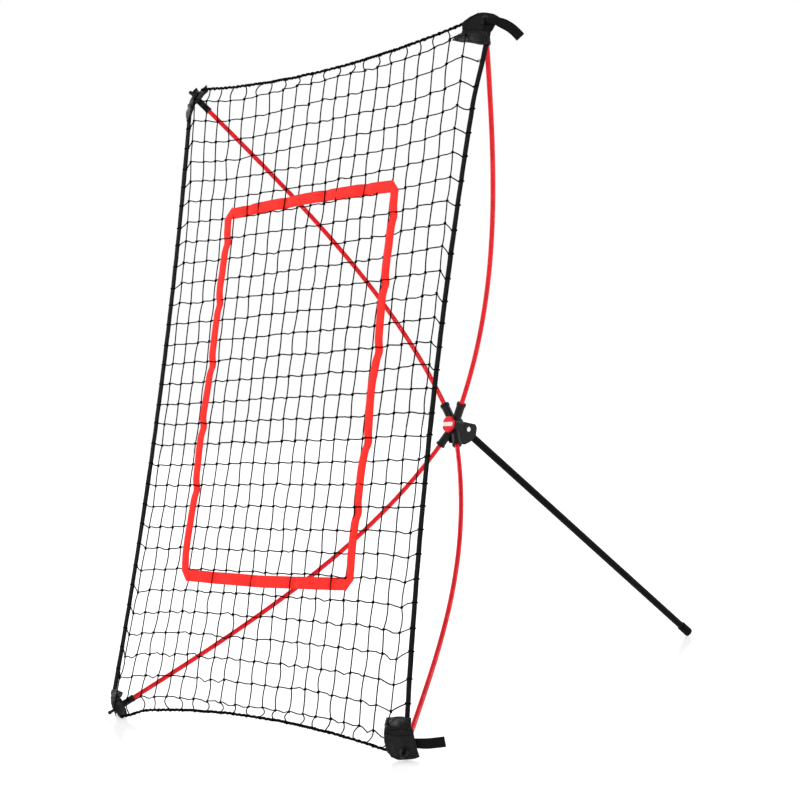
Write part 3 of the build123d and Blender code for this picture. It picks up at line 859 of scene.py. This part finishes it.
def pull_tab(name, corner):
    """A webbing tab sewn to its patch, on edge, that bends down or up a little as it goes out."""
    first, last = (math.radians(a) for a in TAB_RISE[name])
    upright = Vector((0, 0, 1))
    root = corner.plate(TAB_ROOT, 0, 1.5) + upright * (TAB_LIFT[name] * MM)
    sewn = corner.plate(4, 0, 3.4) + upright * (TAB_LIFT[name] * MM)
    over = corner.over * corner.sv
    if over.z < 0:
        over = -over
    rows = []
    before = 10
    for k in range(before):
        t = k / before
        rows.append((sewn.lerp(root, t), over.lerp(upright, 0.5 * t * t).normalized()))
    p = root.copy()
    steps = 34
    for k in range(steps + 1):
        t = k / steps
        angle = first + (last - first) * smooth(t)
        ripple = 0.0005 * math.sin(t * 9 + len(name))
        side = corner.level.cross(upright)
        rows.append((p + side * ripple, over.lerp(upright, 0.5 + 0.5 * smooth(t * 2.5)).normalized()))
        p = p + (corner.level * math.cos(angle) + upright * math.sin(angle)) * (TAB_FREE / steps)
    out = []
    for i, (centre, half) in enumerate(rows):
        way = (rows[min(len(rows) - 1, i + 1)][0] - rows[max(0, i - 1)][0]).normalized()
        half = (half - way * half.dot(way)).normalized()
        out.append((centre, half * (TAB_WIDTH / 2), half.cross(way).normalized()))
    tab = strap(f"pull_tab_{name}_woven", out, 0.0019, 9)
    finish_piece(tab, "frame", "webbing", f"pull_tab_{name}")


for seed, corner_name in enumerate(CORNERS):
    rod_end = corner_patch(corner_name, seed + 1.7)
    end_sleeve(corner_name, rod_end)
    pull_tab(corner_name, rod_end)

# ---------------------------------------------------------------- floor, light and camera

floor_mat = bpy.data.materials.new("floor_white")
floor_mat.use_nodes = True
floor_bsdf = floor_mat.node_tree.nodes["Principled BSDF"]
floor_bsdf.inputs["Base Color"].default_value = (0.95, 0.95, 0.95, 1)
floor_bsdf.inputs["Roughness"].default_value = 0.13
floor_bsdf.inputs["Specular IOR Level"].default_value = 0.85
floor_bsdf.inputs["Emission Color"].default_value = (1, 1, 1, 1)
floor_bsdf.inputs["Emission Strength"].default_value = 0.42
floor = new_object("floor", [(-8, -8, 0), (8, -8, 0), (8, 8, 0), (-8, 8, 0)], [(0, 1, 2, 3)], False)
floor.data.materials.append(floor_mat)

world = bpy.data.worlds.new("studio")
world.use_nodes = True
world.node_tree.nodes["Background"].inputs["Color"].default_value = (1, 1, 1, 1)
sky = world.node_tree.nodes["Background"]
sky_coords = world.node_tree.nodes.new("ShaderNodeTexCoord")
sky_split = world.node_tree.nodes.new("ShaderNodeSeparateXYZ")
sky_range = world.node_tree.nodes.new("ShaderNodeMapRange")
sky_range.inputs["From Min"].default_value = 0.2
sky_range.inputs["From Max"].default_value = 0.7
sky_range.inputs["To Min"].default_value = 1.0
sky_range.inputs["To Max"].default_value = 0.45
world.node_tree.links.new(sky_coords.outputs["Generated"], sky_split.inputs["Vector"])
world.node_tree.links.new(sky_split.outputs["Z"], sky_range.inputs["Value"])
world.node_tree.links.new(sky_range.outputs["Result"], sky.inputs["Strength"])
bpy.context.scene.world = world


def area_light(name, place, target, size, power):
    data = bpy.data.lights.new(name, "AREA")
    data.shape = "SQUARE"
    data.size = size
    data.energy = power
    obj = bpy.data.objects.new(name, data)
    obj.location = place
    obj.rotation_euler = (Vector(target) - Vector(place)).to_track_quat("-Z", "Y").to_euler()
    bpy.context.scene.collection.objects.link(obj)


area_light("key", (1.6, -2.6, 2.8), (0, 0, 0.5), 1.2, 40)
area_light("fill", (-2.6, -1.2, 2.0), (0, 0, 0.5), 1.2, 26)
area_light("rim", (1.5, 2.4, 2.2), (0, 0, 0.5), 1.2, 26)

# The camera, fitted to the knots of the net in the photograph
IMAGE_WIDTH = 800
FOCAL = 2140.8                  # in units of the image's pixels
VIEW_RIGHT = direction(0.63496, 0.11257, 0.76430)
VIEW_AHEAD = direction(-0.77185, 0.13441, 0.62144)
VIEW_UP = direction(0.03277, 0.98451, -0.17223)
camera_data = bpy.data.cameras.new("camera")
camera_data.sensor_width = 36
camera_data.lens = camera_data.sensor_width * FOCAL / IMAGE_WIDTH
camera = bpy.data.objects.new("camera", camera_data)
place = at(78.525 * MESH, -13.126 * MESH, -56.539 * MESH)
axes = Matrix((VIEW_RIGHT, VIEW_UP, -VIEW_AHEAD)).transposed().to_4x4()
camera.matrix_world = Matrix.Translation(place) @ axes
bpy.context.scene.collection.objects.link(camera)
bpy.context.scene.camera = camera
bpy.context.scene.view_settings.view_transform = "Standard"
